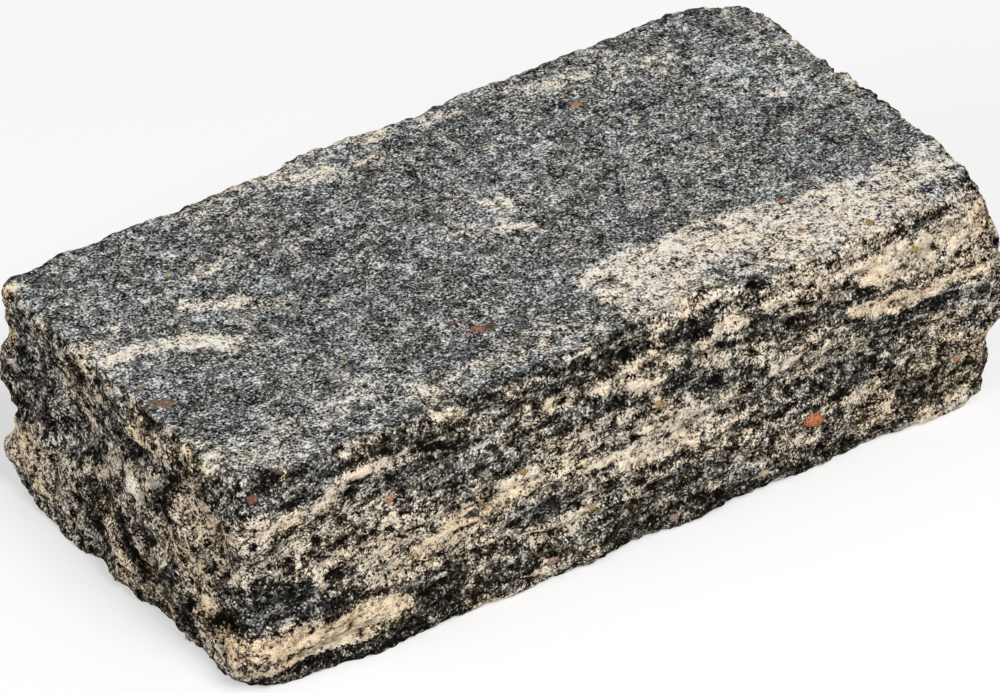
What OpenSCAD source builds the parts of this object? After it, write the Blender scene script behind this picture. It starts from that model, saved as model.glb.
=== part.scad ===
// Split wall block of two-tone pressed concrete. It is one solid piece: its two beds are flat
// from the mould, its four upright sides are split, and tumbling has broken its arrises.
// X runs along the wall, Y from the show face to the back, and Z up from the lower bed.

/* [Block] */
// Length along the wall
block_l = 280; // [180:5:400]
// Depth through the wall
block_w = 141; // [90:1:240]
// Height of one course
block_h = 80; // [50:1:160]

/* [Split sides] */
// How far the long faces stand in and out of true
face_relief = 1.6; // [0:0.1:4]
// How far the ends stand in and out of true
end_relief = 2.2; // [0:0.1:5]
// How far the split sides stand proud of true on the whole
proud = 1.4; // [0:0.1:3]
// Width of the broad swells on the split sides
swell_size = 34; // [20:1:80]
// Width of the broken lumps on the split sides
lump_size = 11; // [8:0.5:30]
// How much longer than high the lumps are, along the layers of the mix
layering = 2; // [1:0.1:4]
// Depth of the hollows that the split leaves between its layers
hollow_depth = 2.4; // [0:0.1:5]
// Height of those hollows
hollow_size = 9; // [6:0.5:20]
// Which of the many ways of splitting this block shows
split_seed = 42; // [1:1:99]

/* [Broken arrises] */
// Radius that tumbling leaves on the arrises round both beds
arris_r = 2.5; // [2:0.5:10]
// Share by which that radius comes and goes along an arris
arris_unevenness = 0.6; // [0:0.05:0.9]
// Radius of the four upright corners
corner_r = 7; // [4:0.5:20]
// How far the knocked corners and hollows go in, as a share of their usual depth
knock_depth = 1; // [0:0.05:1.4]

/* [Surface] */
// Spacing of the points round the sides
point_step = 5.6; // [5.2:0.1:12]
// Spacing of the rings up the sides
ring_step = 3.6; // [3.4:0.1:10]

/* [Hidden] */

half_size = [block_l / 2, block_w / 2, block_h / 2];
centre = [0, 0, half_size.z];
corner_steps = 4;
// Angles from bed to side, at which rings follow the rounding of an arris
arris_angles = [20, 42, 64, 86];
// How far the split body reaches past each bed before the mould's plates cut it flat
bed_waste = 1.5;
// Distance from a corner over which the outward direction turns
turn_reach = 32;
// Smaller lumps ride on the larger ones, each time finer and shallower
octaves = 3;
octave_share = 0.55;
swell_share = 0.5;
// How many times as long as high the hollows are along the block and through it
hollow_runs = [3, 1.6];
// The unevenness at which a hollow starts, and at which it has its full depth
hollow_start = 0.2;
hollow_full = 0.75;

// Knocks: [x, y, z as shares of the half size, reach in mm, depth in mm],
// with a depth below 0 where the break left a lump standing
knocks = [
    // upright corners and their ends at the beds
    [-1.00, -1.00, -1.00, 16,  5.5],
    [-1.00, -0.60, -1.00, 18,  5],
    [-0.90, -1.00, -1.00, 20,  1.5],
    [-1.00,  1.00, -1.00, 16,  4],
    [-0.92,  1.00,  1.00, 14,  2],
    [-1.00, -1.00,  1.00, 14,  4],
    [ 1.00,  1.00,  1.00, 25,  7.5],
    [ 1.00, -1.00,  1.00, 19,  5],
    [ 1.00,  1.00, -1.00, 24,  8],
    [ 1.00, -1.00, -1.00, 16,  3],
    [ 1.00, -1.00, -0.45,  8,  2],
    [ 1.00, -1.00,  0.00, 28, -5.5],
    // hollows and lumps in the ends
    [-1.00,  1.00,  0.18, 18, -1.5],
    [-1.00,  0.97, -0.32,  9,  3],
    [-1.00,  1.00, -0.72, 14, -3.5],
    [-1.00,  0.23, -1.00, 16,  3],
    [-1.00, -0.25, -0.95, 26,  3],
    [-1.00,  0.35,  0.30, 38,  4],
    [ 1.00,  0.10, -0.60, 30,  4],
    [ 1.00,  0.30,  1.00, 42,  1.3],
    [ 1.00, -0.75,  1.00, 16,  3],
    // chips and lumps along the arrises of the show face
    [-0.72, -1.00,  1.00, 14,  3],
    [ 0.02, -1.00,  0.95, 16,  3],
    [ 0.22, -1.00,  0.90, 14,  4],
    [-0.13, -1.00, -1.00, 22, -1],
    [ 0.15, -1.00, -1.00, 22, -1.2],
    [ 0.40, -1.00, -1.00, 20, -3],
    [ 0.64, -1.00, -1.00, 18,  3],
    // chips along the arrises of the back
    [-0.75,  1.00,  1.00, 20,  1.2],
    [-0.30,  1.00,  1.00, 10,  1.5],
    [ 0.06,  1.00,  1.00, 20,  1.5],
    [ 0.55,  1.00, -1.00, 20,  5],
];

function ease(t) = t * t * (3 - 2 * t);
function blend(a, b, t) = a + (b - a) * t;

// A repeatable number from 0 to 1 for each point of a cubic lattice
function lattice(c, seed) =
    let (s = sin(c.x * 127.1 + c.y * 311.7 + c.z * 74.7 + seed * 53.3) * 43758.5453)
    s - floor(s);

function lattice_row(c, t, seed) =
    blend(lattice(c, seed), lattice(c + [1, 0, 0], seed), t);
function lattice_square(c, t, seed) =
    blend(lattice_row(c, t.x, seed), lattice_row(c + [0, 1, 0], t.x, seed), t.y);

// Smooth unevenness from -1 to 1, with lumps one unit wide
function unevenness(p, seed) =
    let (
        c = [for (v = p) floor(v)],
        t = [for (v = p - c) ease(v)]
    )
    2 * blend(lattice_square(c, t, seed), lattice_square(c + [0, 0, 1], t, seed), t.z) - 1;

// Lumps with smaller lumps on them
function broken(p, seed, n = octaves) =
    n == 0 ? 0 : unevenness(p, seed) + octave_share * broken(2 * p, seed + 1, n - 1);

// How far a hollow between the layers goes in at a point
function hollowed(p) =
    let (
        at = [p.x / hollow_runs.x, p.y / hollow_runs.y, p.z] / hollow_size,
        share = (unevenness(at, split_seed + 11) - hollow_start) / (hollow_full - hollow_start)
    )
    hollow_depth * ease(min(max(share, 0), 1));

// How far the split surface stands out at a point whose outward direction in plan is d
function relief(p, d) =
    let (
        height = face_relief * d.y * d.y + end_relief * d.x * d.x,
        along = [p.x / layering, p.y, p.z]
    )
    proud - hollowed(p) + height * (swell_share * unevenness(p / swell_size, split_seed)
        + broken(along / lump_size, split_seed + 7));

// How far the deepest knock and the highest lump together go in at a point
function knocked(p) =
    let (depths = [for (k = knocks)
        let (
            at = centre + [k.x * half_size.x, k.y * half_size.y, k.z * half_size.z],
            near = 1 - norm(p - at) / k[3]
        )
        near > 0 ? k[4] * ease(near) : 0])
    knock_depth * (max(depths) + min(depths));

// Radius of an arris near a point
function arris_at(p) =
    arris_r * (1 + arris_unevenness * broken(p / (2 * lump_size), split_seed + 3));

// How far a rounded arris of radius r draws in at a given depth from the bed
function drawn_in(r, depth) =
    let (left = max(0, r - max(0, depth))) r - sqrt(max(0, r * r - left * left));

// Points round the plan, side by side and corner by corner
function side_out(k) = [cos(90 * k - 90), sin(90 * k - 90)];
function plan_side(k) =
    let (out = side_out(k), along = side_out(k + 1),
         half = (k % 2 == 0 ? half_size.x : half_size.y) - corner_r,
         away = k % 2 == 0 ? half_size.y : half_size.x,
         steps = max(2, round(2 * half / point_step)))
    [for (s = [0 : steps]) away * out + (2 * s / steps - 1) * half * along];
function plan_corner(k) =
    let (inner = [half_size.x - corner_r, half_size.y - corner_r],
         sign = side_out(k) + side_out(k + 1))
    [for (s = [1 : corner_steps - 1])
        let (a = 90 * k - 90 + 90 * s / corner_steps)
        [inner.x * sign.x, inner.y * sign.y] + corner_r * [cos(a), sin(a)]];
plan = [for (k = [0 : 3]) each concat(plan_side(k), plan_corner(k))];
// Direction in which the surface stands out at a point of the plan: square to the side,
// turning smoothly near the corners so that deep knocks there can't cross each other
function outward(at) =
    let (core = [for (i = [0, 1]) half_size[i] - turn_reach],
         from = [for (i = [0, 1]) min(max(at[i], -core[i]), core[i])])
    (at - from) / norm(at - from);

// Heights of the rings, close together round each arris
arris_heights = [for (a = arris_angles) arris_r * (1 - cos(a))];
middle_steps = max(2, round((block_h - 2 * arris_r) / ring_step));
heights = concat(
    [-bed_waste],
    arris_heights,
    [for (s = [1 : middle_steps - 1]) blend(arris_r, block_h - arris_r, s / middle_steps)],
    [for (i = [len(arris_heights) - 1 : -1 : 0]) block_h - arris_heights[i]],
    [block_h + bed_waste]
);

function ring_point(at, z) =
    let (out = outward(at), p = [at.x, at.y, min(max(z, 0), block_h)],
         depth = min(p.z, block_h - p.z),
         inward = drawn_in(arris_at(p), depth) + knocked(p) - relief(p, out))
    [p.x - inward * out.x, p.y - inward * out.y, z];

// The split body, before its beds are cut flat
module split_body() {
    n = len(plan);
    rings = len(heights);
    points = concat(
        [for (z = heights) each [for (at = plan) ring_point(at, z)]],
        [[0, 0, heights[0]], [0, 0, heights[rings - 1]]]
    );
    sides = [for (r = [0 : rings - 2], i = [0 : n - 1])
        let (a = r * n + i, b = r * n + (i + 1) % n, c = b + n, d = a + n)
        each (i + r) % 2 == 0 ? [[a, d, c], [a, c, b]] : [[a, d, b], [b, d, c]]];
    lower = [for (i = [0 : n - 1]) [rings * n, i, (i + 1) % n]];
    upper = [for (i = [0 : n - 1])
        [rings * n + 1, (rings - 1) * n + (i + 1) % n, (rings - 1) * n + i]];
    polyhedron(points, concat(sides, lower, upper), convexity = 4);
}

// The space between the mould's two bed plates
module mould_space() {
    room = block_l + block_w;
    translate([-room, -room, 0]) cube([2 * room, 2 * room, block_h]);
}

module wall_block() {
    color("#5d5f62")
    intersection() {
        split_body();
        mould_space();
    }
}

wall_block();
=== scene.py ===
"""Split wall block of two-tone pressed concrete: its rough skin, its gravel and a plain stage."""

import math
import random

import bmesh
import bpy
import numpy as np
from bpy.props import FloatProperty, FloatVectorProperty, IntProperty, PointerProperty
from mathutils import Matrix, Vector, noise
from mathutils.bvhtree import BVHTree


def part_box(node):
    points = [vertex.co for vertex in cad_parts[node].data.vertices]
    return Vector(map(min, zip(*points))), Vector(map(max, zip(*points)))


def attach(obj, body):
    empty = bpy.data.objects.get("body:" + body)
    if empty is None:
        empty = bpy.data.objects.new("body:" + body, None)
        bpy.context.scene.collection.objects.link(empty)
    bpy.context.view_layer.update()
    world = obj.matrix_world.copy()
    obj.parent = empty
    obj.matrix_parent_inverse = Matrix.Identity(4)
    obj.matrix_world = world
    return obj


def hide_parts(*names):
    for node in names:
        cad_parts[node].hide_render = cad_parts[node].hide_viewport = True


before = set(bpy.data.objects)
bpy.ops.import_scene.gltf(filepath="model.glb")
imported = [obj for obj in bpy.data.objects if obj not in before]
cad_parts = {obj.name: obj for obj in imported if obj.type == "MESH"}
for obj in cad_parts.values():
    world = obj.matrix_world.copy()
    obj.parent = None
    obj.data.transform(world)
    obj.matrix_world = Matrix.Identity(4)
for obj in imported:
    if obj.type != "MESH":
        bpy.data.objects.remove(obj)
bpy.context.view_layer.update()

bl_info = {
    "name": "Split wall block",
    "version": (1, 0, 0),
    "blender": (4, 5, 0),
    "location": "3D View > Sidebar > Wall block",
    "description": "Dresses a split concrete wall block with its broken skin and gravel",
    "category": "Object",
}

MM = 0.001
NODE = "wall_block"
LOW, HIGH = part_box(NODE)
# The block's true sides, from which its uneven ones stand in and out, in millimetres
LENGTH, DEPTH, HEIGHT = 280.0, 141.0, 80.0


# Streaks and patches are written in millimetres: the start and the end of the middle line (from
# the left end, from the show face, from the lower bed), the half sizes round it along X, Y and Z,
# and the share. The next three functions take them shorter, for one side of the block.
DEEP = 8  # half size of such a streak inwards from its side


def on_top(spots):
    """Streaks on the upper bed, each x, y, x, y, half x, half y, half z, share."""
    return [((x, y, HEIGHT), (x2, y2, HEIGHT), (half_x, half_y, half_z), share)
            for x, y, x2, y2, half_x, half_y, half_z, share in spots]


def on_front(spots):
    """Streaks on the show face, each x, z, x, z, half x, half z, share."""
    return [((x, 0, z), (x2, 0, z2), (half_x, DEEP, half_z), share)
            for x, z, x2, z2, half_x, half_z, share in spots]


def on_left(spots):
    """Streaks on the left end, each y, z, y, z, half y, half z, share."""
    return [((0, y, z), (0, y2, z2), (DEEP, half_y, half_z), share)
            for y, z, y2, z2, half_y, half_z, share in spots]


# Where cream concrete lies in the dark: the share is the share of cream
TOP_STREAKS = on_top([
    (150, 31, 212, 31, 9, 5.5, 5, 1), (160, 21, 236, 24, 10, 7, 6, 0.95),
    (148, 20, 172, 16, 5, 7, 6, 0.85), (205, 12, 238, 15, 10, 9, 8, 0.85),
    (240, 19, 284, 23, 10, 9.5, 8, 0.76), (228, 4, 268, 5, 10, 9, 10, 0.74),
    (176, 6, 206, 4, 10, 7, 5, 0.62), (150, 5, 176, 6, 8, 7, 5, 0.5), (5, 82, 18, 80, 5, 3.8, 4, 1),
    (18, 80, 30, 75, 5, 2.6, 4, 0.9), (30, 75, 43, 67, 4, 4, 4, 0.95),
    (39, 92, 54, 84, 4, 2.6, 4, 0.9), (56, 80, 68, 75, 4, 2, 4, 0.6),
    (14, 96, 15.5, 95, 1.8, 1.8, 2, 1), (148, 84, 152, 78, 4.5, 4, 4, 0.75),
    (142, 72, 149, 66, 3, 3, 4, 0.66), (128, 78, 136, 72, 5, 4, 4, 0.4),
    (100, 134, 116, 128, 6, 4.5, 4, 0.5), (124, 128, 132, 126, 4, 2.5, 4, 0.6),
    (62, 137, 92, 137, 8, 3, 4, 0.2), (156, 135, 164, 134, 3, 3, 4, 0.8),
    (192, 134, 206, 128, 8, 5, 4, 0.34), (218, 126, 236, 118, 8, 5, 4, 0.26),
    (242, 108, 256, 104, 6, 4, 4, 0.2), (254, 84, 258, 80, 3, 2, 2, 0.7),
    (272, 106, 282, 107, 4, 3, 4, 0.55), (6, 16, 60, 12, 12, 10, 4, 0.3),
    (76, 11, 130, 9, 10, 7, 4, 0.34), (20, 14, 60, 22, 12, 6, 4, 0.36),
    (112, 8, 128, 12, 6, 5, 4, 0.4), (48, 104, 58, 106, 4, 4, 4, 0.26)])
FRONT_STREAKS = on_top([
    (13, 0, 17, 0, 3, 8, 3, 0.5)]) + on_front([
    (-2, 62, 13, 62, 5, 3.3, 0.92), (13, 62, 28, 65, 5, 2.2, 0.92), (28, 65, 36.5, 68, 4, 3, 0.95),
    (39, 69, 50, 69.5, 4, 2, 0.9), (50, 69.5, 64, 66.5, 4, 1.4, 0.6),
    (-2, 56.5, 13, 60, 5, 2.4, 0.6), (-2, 48, 19.5, 50.5, 5, 2.8, 0.8),
    (45.5, 55, 52, 52.5, 4, 3, 0.4), (28.5, 41, 45.5, 41, 5, 2, 0.75),
    (24.5, 38.5, 27, 31, 2, 2, 0.85), (42.5, 35, 55, 34, 4, 4.6, 0.9),
    (43.5, 28, 56.5, 27, 4, 3.4, 0.8), (51.5, 41.5, 61.5, 38, 4, 3, 0.75),
    (61.5, 31, 70.5, 31.5, 5, 4.6, 0.92), (73, 38, 85, 36.5, 4, 3.4, 0.85),
    (87.5, 38.5, 102.5, 41, 5, 2.8, 0.95), (93.5, 43.5, 103.5, 44.5, 4, 2.8, 0.9),
    (103.5, 42.5, 119, 39, 5, 1.8, 0.66), (47, 29.5, 61, 25, 5, 2.8, 0.66),
    (38, 15.5, 50, 17, 5, 5, 0.95), (43.5, 20, 56.5, 15.5, 4, 3.2, 0.92),
    (68, 30, 93, 25.5, 5, 1, 0.75), (75.5, 25, 101, 24.5, 5, 1, 0.75),
    (99, 22, 119.5, 21, 5, 1.8, 0.9), (123, 24, 131.5, 22.5, 5, 1.6, 0.4),
    (139, 31, 147, 28.5, 4, 2, 0.7), (119.5, 21, 125.5, 16.5, 3, 1.6, 0.7),
    (87, 6.5, 96, 6.5, 4, 1.2, 0.4), (101, 7, 111, 7, 4, 2, 0.6),
    (113, 66.5, 122, 66, 3, 2.6, 0.95), (129, 64.5, 139, 62.5, 4, 2.2, 1),
    (135.5, 62.5, 148, 59, 4, 2.6, 1), (148.5, 61, 152, 49.5, 1.8, 2.4, 0.8),
    (135, 67, 145.5, 66, 4, 1.8, 0.8), (145.5, 66, 157.5, 63.5, 4, 1.8, 0.8),
    (176, 69, 185, 67, 3, 3, 0.95), (166.5, 58, 177, 56, 3, 2.4, 0.95),
    (121.5, 39, 134.5, 34.5, 4, 2.8, 0.95), (132, 34.5, 162.5, 31, 5, 4.4, 1),
    (161, 37, 174, 36, 5, 3.6, 0.9), (149, 40.5, 175, 40, 5, 3.4, 0.9),
    (159.5, 46, 167, 44.5, 4, 2.6, 0.88), (166, 32.5, 179.5, 32, 5, 1.5, 0.8),
    (184.5, 45.5, 195, 45.5, 5, 1.4, 0.5), (111, 52.5, 139, 51, 6, 3.2, 0.6),
    (157, 24.5, 169, 22.5, 4, 1, 0.7), (166.5, 24, 183.5, 26.5, 4, 1, 0.9),
    (183.5, 25, 201, 25.5, 5, 1, 0.75), (195, 45.5, 213, 44, 4, 2.8, 0.92),
    (199, 39, 206.5, 35.5, 4, 1.2, 0.5), (226, 54, 240.5, 52.5, 4, 3.6, 1),
    (238, 53, 249.5, 51.5, 4, 4, 1), (247.5, 51, 267, 54, 4, 3, 1),
    (265.5, 54, 280, 52.5, 4, 4.2, 0.95), (242, 63, 277, 68, 8, 5, 0.88),
    (237.5, 61.5, 246.5, 60.5, 5, 2.6, 0.8), (232.5, 66.5, 271, 69, 7, 6.2, 0.94),
    (264, 73.5, 284, 71, 5, 3, 0.76), (273, 69, 284, 64, 5, 5, 0.9),
    (204.5, 73, 235, 71.5, 7, 4.5, 0.6), (222.5, 26.5, 227.5, 17, 3, 3, 0.5),
    (236, 20, 236.5, 12, 2, 3, 0.66), (194, 14.5, 208, 12.5, 4, 2, 0.66),
    (262, 38.5, 274.5, 40, 6, 3, 0.56), (257, 26.5, 276.5, 34, 6, 1.6, 0.5),
    (262, 6, 269.5, 6, 3, 1.6, 0.9), (72, 78.5, 78, 75.5, 3, 2, 0.8),
    (95, 76.5, 104, 78, 3, 1.2, 0.6), (61.5, 77, 66, 75, 3, 1.2, 0.5),
    (149.5, 77, 157.5, 76.5, 3, 2, 0.7), (166, 76, 186, 77, 5, 2, 0.7),
    (187, 78.5, 190, 78, 3, 2.4, 0.6), (105.5, 18, 117, 17, 4, 3.4, 0.75),
    (129, 22.5, 143.5, 20.5, 4, 3, 0.65), (143.5, 28.5, 148, 25, 3, 3, 0.35),
    (151, 71.5, 150.5, 65, 3, 4, 0.85), (169.5, 65.5, 170.5, 58, 3, 3.4, 0.7),
    (204.5, 63, 217.5, 63.5, 5, 3, 0.6), (241.5, 35.5, 247.5, 34, 3.4, 3, 0.6),
    (265.5, 26, 273, 23, 4, 4, 0.5), (241, 68.5, 254, 62, 5, 5, 1),
    (264, 63.5, 271.5, 54, 3, 5, 0.6), (204, 48, 211.5, 46, 3.4, 3, 0.7),
    (202.5, 36, 214, 36, 4, 2.4, 0.45), (198.5, 10, 217, 8, 5, 3, 0.35),
    (223, 17.5, 235, 17, 4, 2.4, 0.4), (30.5, 39, 40.5, 38.5, 4, 2, 0.5),
    (5.5, 48, 7, 46.5, 3, 3, 0.5), (74, 76, 79, 73, 3, 2.6, 0.5),
    (135.5, 62.5, 139.5, 61, 3, 2.4, 0.8), (105.5, 63.5, 112, 63.5, 3, 2.4, 0.4),
    (7.5, 13, 40, 8.5, 6, 3.4, 1), (171, 74.5, 178, 75, 3, 2.4, 0.5),
    (236, 30.5, 237, 22.5, 2.6, 3.4, 0.55), (238.5, 79, 246.5, 77, 4, 3.4, 0.85),
    (252, 4, 276, 0.5, 5, 3, 1), (268, 63.5, 269.5, 48, 3, 3.4, 0.4),
    (209, 23.5, 208.5, 10.5, 3, 4, 0.3), (86.5, 37, 93.5, 36.5, 3, 3, 0.85),
    (91, 21, 101.5, 22.5, 4, 2.4, 0.35), (63, 27, 78, 27.5, 4, 3, 0.55),
    (-2, 65.5, 7.5, 66.5, 4, 3, 0.7), (55.5, 55.5, 55.5, 49, 2.4, 3, 0.45)]) + [
    ((-2, 0, 13.5), (22, 0, 15.5), (6, 16, 9), 1), ((21, 0, 14), (39, 0, 13), (5, 16, 7.4), 1)]
# Where the two mixes are blended, and neither wins
BLENDED = on_top([
    (196, 5, 150, 9, 8, 9, 5, 0.6), (186, 14, 194, 13, 6, 5, 4, 0.66),
    (212, 3, 218, 3, 6, 5, 4, 0.66)]) + on_front([
    (84, 29.5, 128, 14, 10, 9, 0.12), (203.5, 25.5, 234.5, 13.5, 8, 9, 0.26),
    (179, 47, 203.5, 45.5, 8, 5, 0.36), (125, 46, 177, 45, 8, 6, 0.5),
    (25, 45.5, 45, 43.5, 8, 4, 0.2), (47, 47, 63, 46.5, 7, 4, 0.4),
    (193.5, 50.5, 220, 48, 8, 6, 0.4), (3.5, 57.5, 45.5, 55, 8, 5, 0.32),
    (90.5, 72.5, 127, 75.5, 8, 6, 0.1), (65, 76.5, 80.5, 77.5, 6, 3, 0.1),
    (192, 73.5, 242, 73, 8, 8, 0.55), (223, 60.5, 228.5, 59, 5, 3, 0.1),
    (45.5, 37, 83, 36.5, 8, 7, 0.5), (85, 42.5, 117, 42, 8, 5, 0.5),
    (27.5, 35, 45.5, 39, 6, 6, 0.4)])
END_STREAKS = on_left([
    (134.5, 21, 119.5, 18.5, 8, 9, 0.64), (124.5, 32, 109.5, 32, 5, 4, 0.55),
    (132, 76.5, 133.5, 63.5, 4, 7, 0.46), (135.5, 58.5, 130.5, 57, 3, 4, 0.46),
    (122, 76.5, 116, 71.5, 5, 3, 0.4), (110.5, 58, 104.5, 55, 6, 5, 0.36),
    (91.5, 53, 88, 50, 4, 3, 0.66), (93.5, 33.5, 85.5, 35.5, 4, 2.6, 0.66),
    (111.5, 36.5, 109.5, 36.5, 2, 2, 0.7), (80, 46, 54, 52, 6, 5, 0.6),
    (56.5, 69, 40.5, 71, 5, 4, 0.62), (43, 72.5, 28.5, 77.5, 4, 3, 0.46),
    (97, 57, 87, 61, 5, 4, 0.3), (24, 71.5, 19, 78, 4, 4, 0.4), (34, 42, 27, 38.5, 7, 5, 0.54),
    (33.5, 28, 28.5, 30, 4, 3, 0.4), (24.5, 23.5, 18, 34.5, 3, 3, 0.8),
    (75, 18.5, 66, 8, 5, 4, 0.62), (62, 9.5, 57.5, 5.5, 5, 3.4, 0.2),
    (24.5, 20.5, 30, 7.5, 3, 5, 0.54), (17, 14.5, 16.5, 9, 4, 4, 0.56),
    (13.5, 19.5, 2, 21, 5, 5, 0.36), (12, 44, 5.5, 43.5, 6, 4, 0.66),
    (33.5, 56, 21.5, 56.5, 8, 8, 0.6), (21, 59.5, 5.5, 61, 7, 6, 0.38),
    (46, 45.5, 25.5, 47, 6, 4, 0.4), (49, 27, 44.5, 30, 4, 3, 0.5),
    (112.5, 17.5, 100, 9, 8, 9, 0.44), (83, 27, 76.5, 25.5, 5, 3, 0.3),
    (131, 62, 121, 55, 4, 4, 0.3), (92.5, 78.5, 84, 77, 4, 2.6, 0.75),
    (105, 48.5, 99.5, 44, 4, 3, 0.4), (113.5, 48, 108.5, 40.5, 4, 3, 0.35),
    (105, 27, 91.5, 23, 5, 3, 0.45), (70.5, 35, 59.5, 32.5, 4, 3, 0.35),
    (75.5, 22.5, 70, 17.5, 3, 3, 0.6), (63.5, 51.5, 57, 51.5, 3, 3, 0.5),
    (51, 67, 46.5, 60, 2.6, 4, 0.4), (47, 37, 38.5, 35.5, 3, 3, 0.4),
    (35, 27, 28, 23.5, 4, 3, 0.35), (15, 50.5, 7, 46.5, 4, 3.4, 0.5),
    (23.5, 73.5, 24, 58.5, 3, 5, 0.4)])
# Blackest patches: partly black mix, where no cream got into the mix, and partly painted shade in
# holes and hollows and under the lower rim of the show face
BLACK_MIX_AND_SHADE = on_top([
    (256, 105, 265, 102, 6, 4, 4, 0.4)]) + on_front([
    (-2, 75, 11, 78.5, 6, 3.4, 1), (8.5, 74, 31, 73.5, 6, 5, 0.3), (-2, 28, 23, 33, 6, 7, 0.7),
    (27.5, 35, 42, 31.5, 4, 2.6, 1), (27, 26, 43.5, 26.5, 5, 2.6, 0.8),
    (65, 14.5, 72, 12.5, 4, 5, 0.6), (6, 1, 71, 4, 6, 5.4, 1), (60.5, 7, 99, 10.5, 6, 3, 0.6),
    (111.5, 11, 127.5, 11, 6, 3, 0.3), (42.5, 73.5, 67, 76.5, 6, 3, 0.5),
    (84, 79, 113, 79.5, 6, 2.4, 0.4), (107, 77.5, 112, 71, 3, 4, 0.6),
    (77.5, 53, 89, 52.5, 6, 3, 0.4), (195, 12, 206, 8.5, 5, 3, 0.4),
    (214, 10, 223.5, 9.5, 5, 3, 0.4), (191.5, 37, 199, 37, 4, 3, 0.55),
    (237, 17, 244, 14, 4, 4, 0.7), (250, 11, 261.5, 8, 4, 3, 0.5), (157, 73, 172, 70, 5, 4.6, 0.6),
    (136.5, 77, 147, 75.5, 5, 3.6, 0.1), (162, 53.5, 181, 48.5, 5, 4, 0.48),
    (153, 51.5, 158.5, 58, 3, 4, 0.4), (148.5, 28, 165.5, 26.5, 4, 4.4, 0.7),
    (125.5, 14, 136, 9, 5, 4.6, 0.7), (148, 6.5, 191, 4.5, 6, 4, 0.7),
    (185, 67, 193, 64, 4, 2.8, 0.75), (202.5, 57, 220.5, 57.5, 5, 2.8, 0.45),
    (216, 60, 231.5, 59, 4, 2.4, 0.68), (247, 78.5, 256.5, 77.5, 4, 2.6, 0.4),
    (226.5, 48.5, 263.5, 45.5, 5, 2.8, 0.68), (224, 34.5, 228, 32.5, 4, 3.6, 0.5),
    (247.5, 34, 257, 26.5, 5, 5, 0.4), (96, 31, 110, 29.5, 5, 4, 0.45), (79, 73, 92, 73, 5, 4, 0.4),
    (65, 59.5, 86.5, 60.5, 5, 3, 0.4), (209.5, 26.5, 227, 25.5, 4, 2.8, 0.72),
    (240.5, 19.5, 250, 16.5, 4, 3, 0.56), (212, 6, 241.5, 4.5, 6, 3, 0.6),
    (271, 48, 278.5, 40, 3, 3.6, 0.4), (65.5, 69, 79, 65.5, 5, 3, 0.6),
    (98.5, 16, 103, 16, 2.6, 2.6, 0.7), (107.5, 27.5, 115.5, 25.5, 4, 2.6, 0.9),
    (113, 59.5, 112.5, 51, 3, 4, 0.6), (109.5, 79, 110, 71.5, 3, 4, 0.8),
    (180, 68, 190, 62.5, 4, 3, 0.6), (221.5, 28.5, 233.5, 25, 4, 2.6, 0.9),
    (234.5, 35.5, 237.5, 33.5, 3, 3, 0.6), (91, 6, 99, 6.5, 4, 3, 0.6),
    (31.5, 58, 34, 55.5, 3, 3, 0.35), (12.5, 68, 20.5, 67.5, 3.4, 2.4, 0.5),
    (40.5, 43, 47, 41.5, 3.4, 2.4, 0.5), (273, 54, 281, 49, 3, 3, 0.7),
    (276.5, 27.5, 282, 22, 3, 3, 0.7), (162.5, 69, 160.5, 53.5, 3, 4, 0.7),
    (207, 40, 219, 41, 4, 2.2, 0.6), (224, 78, 230, 76.5, 4, 3, 0.55),
    (245, 44, 255.5, 44.5, 3.4, 3, 0.8), (253.5, 32, 254, 24.5, 3, 4, 0.6),
    (263.5, 31.5, 271.5, 33.5, 3.4, 2.2, 0.5), (70, 78, 71.5, 72, 2.6, 3.4, 0.4),
    (12.5, 75.5, 18, 75, 3.4, 2.4, 0.5)]) + on_left([
    (126, 67, 115.5, 55, 8, 9, 0.4), (133, 41, 115.5, 36.5, 6, 3.4, 0.5),
    (107.5, 33.5, 99.5, 33, 6, 3, 0.6), (94, 39, 89.5, 39, 3.4, 2.6, 1),
    (69.5, 61.5, 58.5, 64, 7, 3, 0.7), (39.5, 53.5, 37.5, 63.5, 4, 5, 0.9),
    (38, 71, 36.5, 74.5, 3, 4, 0.7), (72.5, 72.5, 67, 74, 6, 3, 0.5),
    (69, 27, 65.5, 18, 5, 5, 0.75), (98.5, 23.5, 98.5, 17, 2.4, 3, 0.9),
    (90.5, 20.5, 77, 20.5, 6, 5, 0.6), (76.5, 11, 71, 11.5, 4, 4, 0.8),
    (14, 22, 5.5, 25, 4, 3.4, 0.65), (38.5, 10, 28.5, 21, 3, 4, 0.8),
    (38, 30.5, 39, 27.5, 3, 5, 0.7), (57.5, 34.5, 54, 30.5, 5, 2.4, 0.9),
    (59.5, 16, 53.5, 15.5, 5, 5, 0.3), (95, 30, 86.5, 29, 6, 3, 0.35), (13, 68, 7, 67, 4, 2.4, 0.8),
    (19, 71, 17.5, 74.5, 3, 3, 0.6), (75, 68, 79, 60.5, 4, 5, 0.4),
    (128, 48.5, 122, 46.5, 4, 4, 0.4), (114.5, 61.5, 110, 52, 4, 5, 0.35),
    (97, 35.5, 95, 33.5, 3, 3, 0.6), (82, 53.5, 77, 48, 3, 4, 0.5), (70, 72.5, 60, 71, 4, 3, 0.6),
    (86.5, 29, 79.5, 29.5, 4, 2.4, 0.5), (62, 11.5, 57.5, 5.5, 3.4, 4, 0.5),
    (89.5, 14.5, 90, 4, 3, 4, 0.4), (13, 36, 16.5, 26.5, 2.6, 3.4, 0.6),
    (31, 50, 26, 48.5, 3, 3, 0.35), (17, 42.5, 12, 38.5, 3, 3, 0.5),
    (47, 76.5, 43, 72.5, 3, 4, 0.5), (41.5, 30.5, 33, 30, 4, 3, 0.4), (9.5, 67, 2.5, 67, 3, 4, 0.6),
    (117.5, 5.5, 99, 3.5, 8, 3, 0.2), (43.5, 23, 45, 10.5, 4, 6, 0.4)])
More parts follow.
